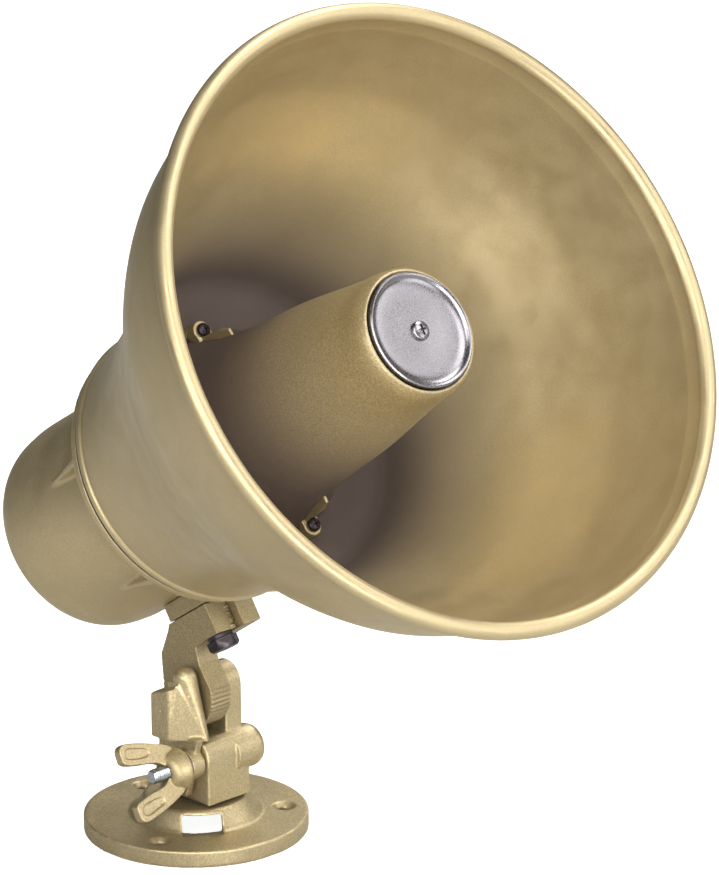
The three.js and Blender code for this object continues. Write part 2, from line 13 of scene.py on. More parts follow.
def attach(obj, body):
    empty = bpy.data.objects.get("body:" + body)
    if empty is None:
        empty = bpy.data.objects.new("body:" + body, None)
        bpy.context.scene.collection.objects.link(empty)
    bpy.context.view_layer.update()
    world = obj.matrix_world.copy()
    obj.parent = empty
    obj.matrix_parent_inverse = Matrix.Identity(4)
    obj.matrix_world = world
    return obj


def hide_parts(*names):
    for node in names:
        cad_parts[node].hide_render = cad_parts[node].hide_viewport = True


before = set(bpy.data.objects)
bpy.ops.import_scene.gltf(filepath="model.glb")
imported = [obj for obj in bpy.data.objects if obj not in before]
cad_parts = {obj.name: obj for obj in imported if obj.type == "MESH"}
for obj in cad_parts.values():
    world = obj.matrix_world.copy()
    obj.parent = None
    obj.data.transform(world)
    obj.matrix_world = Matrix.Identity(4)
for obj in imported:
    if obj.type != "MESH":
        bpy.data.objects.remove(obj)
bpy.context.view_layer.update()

MM = 0.001

# ---- camera: the view that the photograph was taken from --------------------------------------------
AZIMUTH = math.radians(-42.902)
ELEVATION = math.radians(20.069)
ROLL = math.radians(-0.729)
DISTANCE = 5.0
TARGET_RIGHT, TARGET_HEIGHT = 0.066446, 0.163626
LENS, SENSOR = 525.9, 36

right = Vector((math.cos(AZIMUTH), math.sin(AZIMUTH), 0))
back = Vector((math.sin(AZIMUTH) * math.cos(ELEVATION), -math.cos(AZIMUTH) * math.cos(ELEVATION),
               math.sin(ELEVATION)))
up = back.cross(right)
right, up = (right * math.cos(ROLL) + up * math.sin(ROLL), up * math.cos(ROLL) - right * math.sin(ROLL))
target = right * TARGET_RIGHT + Vector((0, 0, TARGET_HEIGHT))

camera_data = bpy.data.cameras.new("camera")
camera_data.lens = LENS
camera_data.sensor_width = SENSOR
camera_data.clip_start, camera_data.clip_end = 0.1, 50
camera = bpy.data.objects.new("camera", camera_data)
bpy.context.scene.collection.objects.link(camera)
facing = Matrix((right, up, back)).transposed().to_4x4()
camera.matrix_world = Matrix.Translation(target + back * DISTANCE) @ facing
bpy.context.scene.camera = camera

# ---- dimensions shared with the frame ---------------------------------------------------------------
HORN_TILT = math.radians(34.34)
SEAM = Vector((0, -3.21, 153.02))
BOLT = Vector((0, -11, 33))
HINGE = Vector((0, -1.9, 58.5))
BASE_TURN = math.radians(-36.3)
LUG_R, LUG_A = 43.45, 44
LUG_ANGLES = (98, 278)
BADGE_A = 156.9
FLANGE_R, FLANGE_BACK, FLANGE_FRONT = 55.4, -4.5, -0.9
COVER_SCREW_R = 49.6
COVER_SCREW_ANGLES = (52, 128, 195, 345)
COVER_RIB_ANGLES = (90, 22, 158, 229, 311)

IN_HORN = Matrix.Translation(SEAM) @ Matrix.Rotation(math.pi / 2 - HORN_TILT, 4, "X")
ON_BASE = Matrix.Rotation(BASE_TURN, 4, "Z")
ALONG_X = Matrix.Rotation(math.pi / 2, 4, "Y")
ON_BOLT = Matrix.Translation(BOLT) @ ALONG_X
AS_IS = Matrix.Identity(4)


# ---- meshes -----------------------------------------------------------------------------------------
def new_object(name, mesh):
    obj = bpy.data.objects.new(name, mesh)
    bpy.context.scene.collection.objects.link(obj)
    return obj


def mesh_of(name, verts, faces, place=AS_IS):
    mesh = bpy.data.meshes.new(name)
    mesh.from_pydata([place @ Vector(v) * MM for v in verts], [], faces)
    mesh.validate()
    edit = bmesh.new()
    edit.from_mesh(mesh)
    bmesh.ops.remove_doubles(edit, verts=edit.verts, dist=1e-7)
    bmesh.ops.recalc_face_normals(edit, faces=edit.faces)
    edit.to_mesh(mesh)
    edit.free()
    return mesh


def smooth_line(points, step=1.5):
    """A Catmull-Rom curve through the points, cut into lengths of about step."""
    line = []
    for i in range(len(points) - 1):
        p0 = points[max(i - 1, 0)]
        p1, p2 = points[i], points[i + 1]
        p3 = points[min(i + 2, len(points) - 1)]
        count = max(1, round(math.dist(p1, p2) / step))
        for j in range(count):
            t = j / count
            line.append(tuple(
                0.5 * (2 * b + (c - a) * t + (2 * a - 5 * b + 4 * c - d) * t * t
                       + (3 * b - a - 3 * c + d) * t ** 3)
                for a, b, c, d in zip(p0, p1, p2, p3)))
    line.append(tuple(points[-1]))
    return line


def rounded(points, radius=0.5, steps=3):
    """The outline with each inner corner replaced by a small arc."""
    line = [points[0]]
    for before, corner, after in zip(points, points[1:], points[2:]):
        b, c, a = Vector(before), Vector(corner), Vector(after)
        reach = min(radius, (b - c).length * 0.45, (a - c).length * 0.45)
        start = c + (b - c).normalized() * reach
        end = c + (a - c).normalized() * reach
        for i in range(steps + 1):
            t = i / steps
            line.append(tuple(start * (1 - t) ** 2 + c * 2 * t * (1 - t) + end * t * t))
    line.append(points[-1])
    return line


def lathe(name, points, place=IN_HORN, segments=128, closed=False):
    """A shape turned about Z from (radius, height) points."""
    verts, faces = [], []
    for r, z in points:
        for i in range(segments):
            angle = 2 * math.pi * i / segments
            verts.append((r * math.cos(angle), r * math.sin(angle), z))
    rows = len(points) if closed else len(points) - 1
    for row in range(rows):
        one, two = row * segments, (row + 1) % len(points) * segments
        for i in range(segments):
            j = (i + 1) % segments
            faces.append((one + i, one + j, two + j, two + i))
    return mesh_of(name, verts, faces, place)


def rod(name, r, low, high, place, edge=0.4):
    return lathe(name, rounded([(0, low), (r, low), (r, high), (0, high)], edge), place, 48)


def ring(inner, outer, low, high):
    return [(inner, low), (outer, low), (outer, high), (inner, high)]


def box_mesh(name, x, y, z, place):
    verts = [(a, b, c) for a in x for b in y for c in z]
    faces = [(0, 1, 3, 2), (4, 6, 7, 5), (0, 4, 5, 1), (2, 3, 7, 6), (0, 2, 6, 4), (1, 5, 7, 3)]
    return mesh_of(name, verts, faces, place)


def hull_mesh(name, points, place=AS_IS):
    """The convex hull of the points."""
    edit = bmesh.new()
    for p in points:
        edit.verts.new(place @ Vector(p) * MM)
    made = bmesh.ops.convex_hull(edit, input=edit.verts)
    spare = [v for v in made["geom_interior"] if isinstance(v, bmesh.types.BMVert)]
    bmesh.ops.delete(edit, geom=spare, context="VERTS")
    bmesh.ops.recalc_face_normals(edit, faces=edit.faces)
    mesh = bpy.data.meshes.new(name)
    edit.to_mesh(mesh)
    edit.free()
    return mesh


def at(r, degrees, z=0):
    """A place in the horn, by its radius, its angle and its height from the seam."""
    return IN_HORN @ Matrix.Rotation(math.radians(degrees), 4, "Z") @ Matrix.Translation((r, 0, z))


def joined(name, meshes):
    """All the meshes in one."""
    edit = bmesh.new()
    for mesh in meshes:
        edit.from_mesh(mesh)
    mesh = bpy.data.meshes.new(name)
    edit.to_mesh(mesh)
    edit.free()
    return mesh


def cut_by(obj, cutters, use_self=False):
    """Sets up the cuts, which are made when the object's modifiers are baked, and gives back their tools."""
    tools = []
    for i, cutter in enumerate(cutters):
        tool = new_object(f"{obj.name}_tool_{i}", cutter)
        cut = obj.modifiers.new("cut", "BOOLEAN")
        cut.operation, cut.object, cut.solver, cut.use_self = "DIFFERENCE", tool, "EXACT", use_self
        tools.append(tool)
    return tools


def baked(obj, tools):
    """Puts the object's modifiers into its mesh, and removes the tools that cut it."""
    bpy.context.view_layer.update()
    graph = bpy.context.evaluated_depsgraph_get()
    mesh = bpy.data.meshes.new_from_object(obj.evaluated_get(graph))
    obj.modifiers.clear()
    obj.data = mesh
    for tool in tools:
        bpy.data.objects.remove(tool)
    return obj


def cast(name, meshes, voxel, softening, cutters=()):
    """Closed meshes melted into one casting with soft edges, and cutters taken away first."""
    obj = new_object(name, joined(name, meshes))
    tools = cut_by(obj, cutters, use_self=True)
    melt = obj.modifiers.new("melt", "REMESH")
    melt.mode, melt.voxel_size, melt.use_smooth_shade = "VOXEL", voxel * MM, True
    soften = obj.modifiers.new("soften", "SMOOTH")
    soften.factor, soften.iterations = 0.5, softening
    return baked(obj, tools)


def node_mesh(node):
    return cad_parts[node].data


def smooth_shaded(obj, angle):
    """Shades the object smoothly, apart from edges sharper than the angle."""
    for face in obj.data.polygons:
        face.use_smooth = True
    obj.data.set_sharp_from_angle(angle=math.radians(angle))
    return obj


def show(obj, body, nodes, material):
    """Gives the piece its finish and its body, and hides the CAD nodes that it stands for."""
    obj.data.materials.clear()
    obj.data.materials.append(material)
    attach(obj, body)
    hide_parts(*([nodes] if isinstance(nodes, str) else nodes))
    return obj


def plate(name, outline, low, high, place):
    """An outline in X and Y made into a flat bar along Z."""
    count = len(outline)
    verts = [(x, y, low) for x, y in outline] + [(x, y, high) for x, y in outline]
    faces = [tuple(reversed(range(count))), tuple(range(count, 2 * count))]
    faces += [(i, (i + 1) % count, (i + 1) % count + count, i + count) for i in range(count)]
    return mesh_of(name, verts, faces, place)


def closed_smooth(points):
    """A Catmull-Rom curve through the points and back to the first."""
    line = smooth_line([points[-1], *points, points[0], points[1]], 0.8)
    first = min(range(len(line)), key=lambda i: math.dist(line[i], points[0]))
    last = max(i for i in range(len(line)) if math.dist(line[i], points[0]) < 1e-6)
    return line[first:last]


# ---- finishes ---------------------------------------------------------------------------------------
class Shader:
    """A node material under construction, with textures sized in millimetres of the object."""

    def __init__(self, name):
        self.material = bpy.data.materials.new(name)
        self.material.use_nodes = True
        self.nodes = self.material.node_tree.nodes
        self.links = self.material.node_tree.links
        self.surface = self.nodes["Principled BSDF"]
        self.place = self.nodes.new("ShaderNodeTexCoord").outputs["Object"]

    def put(self, value, socket):
        """Links another node's output to the socket, or sets the socket's own value."""
        if isinstance(value, bpy.types.NodeSocket):
            self.links.new(value, socket)
        elif isinstance(value, (tuple, list)) and len(value) == 3 and socket.type == "RGBA":
            socket.default_value = (*value, 1)
        else:
            socket.default_value = value

    def noise(self, size, detail=3, roughness=0.55):
        node = self.nodes.new("ShaderNodeTexNoise")
        node.inputs["Scale"].default_value = 1 / (size * MM)
        node.inputs["Detail"].default_value = detail
        node.inputs["Roughness"].default_value = roughness
        self.links.new(self.place, node.inputs["Vector"])
        return node.outputs["Fac"]

    def cells(self, size):
        node = self.nodes.new("ShaderNodeTexVoronoi")
        node.inputs["Scale"].default_value = 1 / (size * MM)
        self.links.new(self.place, node.inputs["Vector"])
        return node.outputs["Distance"]

    def spread(self, value, low, high, to_low=0.0, to_high=1.0):
        """The value eased from to_low at low to to_high at high."""
        node = self.nodes.new("ShaderNodeMapRange")
        node.interpolation_type = "SMOOTHSTEP"
        for name, number in zip(("From Min", "From Max", "To Min", "To Max"), (low, high, to_low, to_high)):
            node.inputs[name].default_value = number
        self.put(value, node.inputs["Value"])
        return node.outputs["Result"]

    def maths(self, operation, *values):
        node = self.nodes.new("ShaderNodeMath")
        node.operation = operation
        for value, socket in zip(values, node.inputs):
            self.put(value, socket)
        return node.outputs[0]

    def mix(self, amount, first, second):
        node = self.nodes.new("ShaderNodeMix")
        node.data_type = "RGBA"
        self.put(amount, node.inputs["Factor"])
        self.put(first, [s for s in node.inputs if s.name == "A" and s.type == "RGBA"][0])
        self.put(second, [s for s in node.inputs if s.name == "B" and s.type == "RGBA"][0])
        return [s for s in node.outputs if s.type == "RGBA"][0]

    def edges(self):
        """1 on sharp outer edges."""
        pointed = self.nodes.new("ShaderNodeNewGeometry").outputs["Pointiness"]
        return self.spread(pointed, 0.51, 0.56)

    def hollows(self, reach):
        """From 0 in the open to 1 where surfaces within reach shut the place in."""
        node = self.nodes.new("ShaderNodeAmbientOcclusion")
        node.samples = 4
        node.inputs["Distance"].default_value = reach * MM
        return self.maths("SUBTRACT", 1.0, node.outputs["AO"])

    def vector(self, operation, first, second):
        node = self.nodes.new("ShaderNodeVectorMath")
        node.operation = operation
        self.put(first, node.inputs[0])
        self.put(second, node.inputs[3 if operation == "SCALE" else 1])
        return node.outputs["Value" if operation == "DOT_PRODUCT" else "Vector"]

    def in_horn(self):
        """The height in the horn, in millimetres from the seam, and 1 where the surface faces the axis."""
        along = (IN_HORN.to_3x3() @ Vector((0, 0, 1))).normalized()
        away = self.vector("SUBTRACT", self.place, SEAM * MM)
        height = self.vector("DOT_PRODUCT", away, along)
        middle = self.vector("SCALE", along, height)
        outward = self.vector("NORMALIZE", self.vector("SUBTRACT", away, middle), (0, 0, 0))
        normal = self.nodes.new("ShaderNodeTexCoord").outputs["Normal"]
        faces_out = self.vector("DOT_PRODUCT", normal, outward)
        return self.maths("MULTIPLY", height, 1 / MM), self.spread(faces_out, 0.3, 0.12)

    def bump(self, height, strength, depth):
        """Adds relief of the given depth in millimetres."""
        node = self.nodes.new("ShaderNodeBump")
        node.inputs["Strength"].default_value = strength
        node.inputs["Distance"].default_value = depth * MM
        self.links.new(height, node.inputs["Height"])
        normal = self.surface.inputs["Normal"]
        if normal.is_linked:
            self.links.new(normal.links[0].from_socket, node.inputs["Normal"])
        self.links.new(node.outputs["Normal"], normal)

    def set(self, **values):
        for name, value in values.items():
            self.put(value, self.surface.inputs[name.replace("_", " ")])
        return self.material


def srgb(r, g, b):
    return tuple(c / 255 / 12.92 if c <= 10.3 else ((c / 255 + 0.055) / 1.055) ** 2.4 for c in (r, g, b))


def paint(name, colour, grain, relief, roughness, metallic=0.75, painted_shade_and_highlight=False, deep=None,
          inside_only=False, sparkle=0.14):
    """Stoved metal-tone paint, with fine grain, orange peel and faint flecks.

    Where asked for, the paint has painted shade in its hollows and a painted highlight on its sharp edges.
    deep gives the two heights in the horn between which the paint darkens to a painted shade and turns matt,
    and how much of it there is at each of them.
    """
    s = Shader(name)
    tint = Vector(colour)
    tone = s.mix(s.spread(s.noise(38, 4), 0.35, 0.65), tuple(tint * 0.94), tuple(tint * 1.05))
    fleck = s.spread(s.noise(grain * 0.55, 2, 0.7), 0.36, 0.64)
    tone = s.mix(fleck, tuple(tint * (1 - sparkle)), tone)
    glint = s.spread(s.cells(grain * 0.7), 0.0, 0.22, 2.5 * sparkle, 0.0)
    tone = s.mix(glint, tone, tuple(min(1, c * 1.35) for c in tint))
    if painted_shade_and_highlight:
        # painted shade: darker, in patches, where nearby surfaces shut the place in
        patches = s.spread(s.noise(6, 4), 0.3, 0.7, 0.5, 1.0)
        hollow_shade = s.maths("MULTIPLY", s.spread(s.hollows(HOLLOW_SHADE_REACH), 0.25, 0.9), patches)
        tone = s.mix(s.maths("MULTIPLY", hollow_shade, 0.75), tone, tuple(tint * 0.42))
        # painted highlight: lighter on sharp edges
        edge_highlight = s.maths("MULTIPLY", s.edges(), s.spread(s.noise(5, 5, 0.7), 0.42, 0.62))
        tone = s.mix(s.maths("MULTIPLY", edge_highlight, 0.8), tone, tuple(min(1, c * 1.5) for c in tint))
    s.bump(s.noise(grain, 2, 0.6), 0.6, relief)
    s.bump(s.noise(grain * 4.5, 2), 0.35, relief * 2.2)
    gloss = s.spread(s.noise(14, 4), 0.3, 0.7, roughness - 0.05, roughness + 0.07)
    # painted shade deep in the horn: the paint darkens to a dim brown and turns matt towards the throat
    if deep:
        height, inward = s.in_horn()
        amount = s.maths("ADD", s.spread(height, *deep), s.spread(height, *DEEPEST))
        if inside_only:
            amount = s.maths("MULTIPLY", amount, inward)
        deep_shade = s.maths("MINIMUM", amount, 1.0)
        tone = s.mix(deep_shade, tone, DEEP_SHADE_TONE)
        metallic = s.maths("MULTIPLY", s.maths("SUBTRACT", 1.0, deep_shade), metallic)
        gloss = s.maths("ADD", gloss, s.maths("MULTIPLY", deep_shade, 0.4))
    return s.set(Base_Color=tone, Roughness=gloss, Metallic=metallic)


def metal(name, colour, roughness, tarnish=0.25, scratch=0.012):
    """Bare metal, clouded by tarnish and finely scratched."""
    s = Shader(name)
    tint = Vector(colour)
    cloud = s.spread(s.noise(7, 5, 0.6), 0.35, 0.7)
    tone = s.mix(s.maths("MULTIPLY", cloud, tarnish), tuple(tint), tuple(tint * 0.55))
    marks = s.noise(0.5, 3, 0.7)
    s.bump(marks, 0.4, scratch)
    gloss = s.spread(marks, 0.3, 0.7, roughness - 0.06, roughness + 0.12)
    return s.set(Base_Color=tone, Roughness=gloss, Metallic=1.0)


def solid(name, colour, roughness, grain=0.6, relief=0.03, mottle=0.2):
    """Rubber, plastic or ferrite: one mottled colour with a fine grain."""
    s = Shader(name)
    tint = Vector(colour)
    cloud = s.spread(s.noise(9, 5, 0.6), 0.35, 0.65)
    tone = s.mix(cloud, tuple(tint * (1 - mottle)), tuple(tint * (1 + mottle)))
    s.bump(s.noise(grain, 3, 0.6), 0.5, relief)
    gloss = s.spread(s.noise(3, 3), 0.3, 0.7, roughness - 0.08, roughness + 0.08)
    return s.set(Base_Color=tone, Roughness=gloss, Metallic=0.0)


GOLD = srgb(190, 173, 134)
# a darker copy of GOLD: painted shade for the arm and foot, which sit in the bell's shadow
SHADED_GOLD = srgb(162, 146, 110)
# the dark tone of the painted shade deep in the horn
DEEP_SHADE_TONE = srgb(88, 76, 70)
# how far the painted shade in hollows reaches, in millimetres
HOLLOW_SHADE_REACH = 22
# heights in the horn where the painted shade starts and where it is darkest, and how much there is at each
BELL_DEEP_SHADE = (104, 44, 0, 0.6)
CONE_DEEP_SHADE = (152, 66, 0, 0.95)
DEEPEST = (74, 36, 0, 0.4)
bell_paint = paint("bell_paint", GOLD, grain=0.7, relief=0.03, roughness=0.42,
                   deep=BELL_DEEP_SHADE, inside_only=True)
cone_paint = paint("cone_paint", GOLD, grain=1.1, relief=0.16, roughness=0.46,
                   deep=CONE_DEEP_SHADE, sparkle=0.35)
cover_paint = paint("cover_paint", GOLD, grain=1.1, relief=0.06, roughness=0.46)
# the arm and foot paint uses the darker gold as painted shade
arm_paint = paint("arm_paint", SHADED_GOLD, grain=1.3, relief=0.1, roughness=0.45, metallic=0.7,
                  painted_shade_and_highlight=True, sparkle=0.3)
bracket_paint = paint("bracket_paint", GOLD, grain=1.3, relief=0.13, roughness=0.45, metallic=0.7,
                      painted_shade_and_highlight=True, sparkle=0.3)
badge_metal = metal("badge_metal", srgb(140, 137, 140), 0.26, tarnish=0.12, scratch=0.006)
zinc_steel = metal("zinc_steel", srgb(196, 202, 210), 0.26)
black_steel = metal("black_steel", srgb(74, 68, 72), 0.4, tarnish=0.5, scratch=0.02)
rubber = solid("rubber", srgb(40, 36, 33), 0.75)
moulded_plastic = solid("moulded_plastic", srgb(44, 43, 44), 0.5, mottle=0.1)
ferrite = solid("ferrite", srgb(62, 62, 66), 0.8, grain=0.9, relief=0.08)
copper = metal("copper", srgb(196, 118, 72), 0.35, tarnish=0.4)
phenolic = solid("phenolic", srgb(124, 84, 48), 0.55)

# ---- bell: outlines are (radius, height) points, from the horn's axis and from the seam -------------
BELL_OUTSIDE = [
    (57, 7.1), (58.3, 13.2), (60, 21.3), (62.4, 29.4), (65, 37.6), (68.1, 45.7), (71.7, 53.8), (76, 62.4),
    (81.3, 72.1), (87.3, 82.2), (93.7, 92.4), (100.4, 102.5), (106.5, 112.7), (111.7, 122.9), (115.3, 133),
    (118.3, 143.7), (120.6, 154.3), (122.2, 164),
]
WALL = 1.9
FLOOR_LOW, FLOOR_HIGH = 30, 33
BEAD_R = 3.54
BEAD_MIDDLE = (125.4, 169.31)
BEAD_START, BEAD_STEP, BEAD_STEPS = -128, 7.9, 40
INNER_WALL_LOW, INNER_WALL_HIGH = 42, 165.5
SPIGOT_R, SPIGOT_LOW = 53.4, 0.9
THROAT_R = 11
BOSS_CIRCLE_R = 51.6


def offset(line, distance):
    """The line moved sideways by the distance, towards the axis for a line that runs up."""
    moved = []
    for i, (r, z) in enumerate(line):
        before, after = Vector(line[max(i - 1, 0)]), Vector(line[min(i + 1, len(line) - 1)])
        along = (after - before).normalized()
        moved.append((r - along.y * distance, z + along.x * distance))
    return moved


def bell():
    outside = smooth_line(BELL_OUTSIDE, 2)
    neck_bead = rounded([(SPIGOT_R, SPIGOT_LOW), (55.6, SPIGOT_LOW), (57.2, 2.0), (57.2, 3.6), (56.4, 4.8),
                         (56.4, 5.4)], 0.9, 4)
    bead = []
    for i in range(BEAD_STEPS + 1):
        angle = math.radians(BEAD_START + i * BEAD_STEP)
        bead.append((BEAD_MIDDLE[0] + BEAD_R * math.cos(angle), BEAD_MIDDLE[1] + BEAD_R * math.sin(angle)))
    inside = [p for p in reversed(offset(outside, WALL)) if INNER_WALL_LOW < p[1] < INNER_WALL_HIGH]
    floor = rounded([
        inside[-1], (63.4, 39.6), (60.4, 36.2), (56, FLOOR_HIGH + 1.4), (50, FLOOR_HIGH + 0.3),
        (44, FLOOR_HIGH), (THROAT_R, FLOOR_HIGH), (THROAT_R, FLOOR_LOW), (56, FLOOR_LOW), (58.4, 26),
        (56.6, 16), (54.4, 7), (SPIGOT_R, SPIGOT_LOW),
    ], 2.5, 4)
    outline = neck_bead + outside + bead + inside + floor[1:-1]
    meshes = [lathe("bell_shell", outline, segments=224, closed=True)]
    for degrees in LUG_ANGLES:
        meshes.append(rod("post", 4, FLOOR_HIGH - 1, LUG_A - 5.3, at(LUG_R, degrees)))
    for degrees in COVER_SCREW_ANGLES:
        meshes.append(rod("screw_boss", 4.2, SPIGOT_LOW, 12, at(BOSS_CIRCLE_R, degrees)))
    return smooth_shaded(new_object("bell", joined("bell", meshes)), 50)


show(bell(), "horn", "bell_horn", bell_paint)

# ---- re-entrant cone --------------------------------------------------------------------------------
CONE_OUTSIDE = [
    (42.4, 39), (40.6, 43), (38.6, 48), (37.2, 53), (36, 59), (34.9, 67), (33.9, 80), (33.3, 91),
    (32.4, 103), (31.1, 114), (29.6, 125), (27.9, 139), (27.3, 146), (26.9, 150.5),
]

FACE_LOW, FACE_HIGH = BADGE_A - 6.4, BADGE_A - 3.4
RECESS_R = 23.8
LUG_H = 5


def cone():
    outside = smooth_line(CONE_OUTSIDE, 2)
    inside = list(reversed(offset(outside, WALL)))
    lip = [(26.3, BADGE_A - 3), (25.4, BADGE_A - 1.3), (24.5, BADGE_A - 0.8), (RECESS_R, BADGE_A - 1.6)]
    outline = [(0, FACE_LOW), (22, FACE_LOW), *inside, *outside, *smooth_line(lip, 0.4),
               (RECESS_R, FACE_HIGH), (0, FACE_HIGH)]
    return smooth_shaded(new_object("cone", lathe("cone", outline, segments=192)), 50)


def lug(name, degrees):
    """A boss beside the cone, the bridge between them, and a rib that runs up the cone from it."""
    root = [(r, y, LUG_A - 1) for r in (LUG_R + 0.8, 36) for y in (2.6, -2.6)]
    tip = [(r, y, 58.9) for r in (38.8, 35) for y in (0.7, -0.7)]
    meshes = [
        rod("boss", 4.25, LUG_A - LUG_H, LUG_A, at(LUG_R, degrees)),
        box_mesh("bridge", (37, LUG_R), (-4, 4), (LUG_A - LUG_H, LUG_A), at(0, degrees)),
        hull_mesh("rib", root + tip, at(0, degrees)),
    ]
    recess = rod("recess", 3.1, LUG_A, LUG_A + 12, at(LUG_R, degrees))
    return cast(name, meshes, 0.32, 5, [recess])


show(cone(), "horn", "reentrant_cone", cone_paint)
show(lug("lug_top", LUG_ANGLES[0]), "horn", "reentrant_cone", cover_paint)
show(lug("lug_bottom", LUG_ANGLES[1]), "horn", "reentrant_cone", cover_paint)


# ---- screws -----------------------------------------------------------------------------------------
def cross_screw(name, head_r, head_h, shank_r, length, place):
    """A pan-head screw with a cross recess, its head's underside at height 0."""
    side = 0.35
    shank = [(0, -length), (shank_r * 0.6, -length), (shank_r, -length + 0.8), (shank_r, 0), (head_r, 0),
             (head_r, head_h * side)]
    dome = []
    for i in range(1, 8):
        angle = math.radians(90 * i / 8)
        dome.append((head_r * math.cos(angle), head_h * (side + (1 - side) * math.sin(angle))))
    outline = rounded(shank, 0.2, 2) + dome + [(0, head_h)]
    screw = new_object(name, lathe(name, outline, place, 48))
    cross, width = head_r * 0.62, head_r * 0.13
    slots = []
    for x, y in ((cross, width), (width, cross)):
        top = [(x * i, y * j, head_h + 1) for i in (1, -1) for j in (1, -1)]
        bottom = [(x * 0.55 * i, y * 0.7 * j, head_h * 0.25) for i in (1, -1) for j in (1, -1)]
        slots.append(hull_mesh("slot", top + bottom, place))
    return smooth_shaded(baked(screw, cut_by(screw, slots)), 40)


for name, degrees in zip(("lug_screw_top", "lug_screw_bottom"), LUG_ANGLES):
    screw = cross_screw(name + "_look", 2.85, 2.0, 1.4, 11, at(LUG_R, degrees, LUG_A + 0.3))
    show(screw, "horn", name, black_steel)

badge_screw = cross_screw("badge_screw_look", 4.0, 2.3, 1.9, 3.1, at(0, 0, BADGE_A - 0.9))
show(badge_screw, "horn", "badge_screw", badge_metal)

for i, degrees in enumerate(COVER_SCREW_ANGLES):
    place = at(COVER_SCREW_R, degrees, FLANGE_BACK + 0.1) @ Matrix.Rotation(math.pi, 4, "X")
    screw = cross_screw(f"cover_screw_{i + 1}_look", 3.2, 2.0, 1.5, 12, place)
    show(screw, "horn", f"cover_screw_{i + 1}", zinc_steel)

# ---- badge ------------------------------------------------------------------------------------------
BADGE_R, BADGE_HOLE_R, BADGE_BACK = 23.5, 2.5, BADGE_A - 3.1
badge_line = smooth_line([
    (23.0, BADGE_A + 0.9), (22.4, BADGE_A + 0.8), (21.7, BADGE_A + 0.2), (20.8, BADGE_A - 0.4),
    (18.5, BADGE_A - 0.9), (14, BADGE_A - 1.0), (7, BADGE_A - 0.8), (BADGE_HOLE_R, BADGE_A - 0.7),
], 0.6)
badge_outline = [(BADGE_HOLE_R, BADGE_BACK), (BADGE_R, BADGE_BACK), (BADGE_R, BADGE_A + 0.5), *badge_line]
badge = new_object("badge", lathe("badge", badge_outline, segments=160, closed=True))
show(smooth_shaded(badge, 45), "horn", "badge_disc", badge_metal)

# ---- rear cover -------------------------------------------------------------------------------------
INLET = IN_HORN @ Matrix.Translation((0, -17, 0))
RIB_TOP, RIB_FOOT, RIB_END = -3.5, -39, -42


def cover():
    inside = [(49.2, FLANGE_FRONT), (47.6, -5), (43.2, -8), (40.6, -13), (40.2, -30), (40.3, -60),
              (39.8, -69), (37.4, -77), (33, -80.2), (26, -81), (0, -81)]
    outside = [(0, -83.4), (29, -83.4), (34, -82.6), (37, -81.2), (39.2, -79), (41.2, -74.6), (42.2, -68),
               (42.7, -60), (42.6, -30), (42.7, -14), (43.6, -10), (46.4, -7), (50, -5.2),
               (FLANGE_R, FLANGE_BACK), (FLANGE_R, FLANGE_FRONT)]
    shell = [outside[0], *smooth_line(outside[1:-2], 2.5), *outside[-2:], *inside]
    meshes = [lathe("shell", shell, segments=192)]
    for degrees in COVER_RIB_ANGLES:
        meshes.append(hull_mesh("rib", [
            (41.2, 3.4, RIB_TOP), (41.2, -3.4, RIB_TOP), (51.5, 2, RIB_TOP), (51.5, -2, RIB_TOP),
            (42.6, 0.6, RIB_FOOT), (42.6, -0.6, RIB_FOOT), (41, 0, RIB_END),
        ], at(0, degrees)))
    cutters = [rod("seat", 3.7, -12, FLANGE_BACK + 0.4, at(COVER_SCREW_R, d)) for d in COVER_SCREW_ANGLES]
    cutters.append(rod("inlet", 5.4, -90, -78, INLET))
    return cast("cover", meshes, 0.75, 4, cutters)


show(cover(), "horn", "rear_cover", cover_paint)
gasket = new_object("gasket", lathe("gasket", ring(54, 55.6, -0.6, 0.6), segments=160, closed=True))
show(smooth_shaded(gasket, 30), "horn", "seam_gasket", rubber)
grommet_line = rounded([(3.2, -83), (3.2, -86.4), (6.6, -86.4), (7.4, -83.8), (5, -83.8), (5, -80.6),
                        (7.4, -80.6), (6.6, -79), (3.2, -79), (3.2, -83)], 0.5)
grommet = lathe("grommet", grommet_line[:-1], INLET, 64, closed=True)
show(smooth_shaded(new_object("grommet", grommet), 50), "horn", "cable_grommet", rubber)

# ---- base -------------------------------------------------------------------------------------------
BASE_R, BASE_H = 44.5, 6.7
HUB_R, HUB_TOP_R, HUB_TOP = 25.5, 20.5, 14.6
HUB_UNDER = 12.6
SLOT_HALF = 8
POST_HOLE_R = 6.2
HOLE_CIRCLE_R, HOLE_R, SINK_R, SINK_H = 35, 2.8, 4.6, 1.8


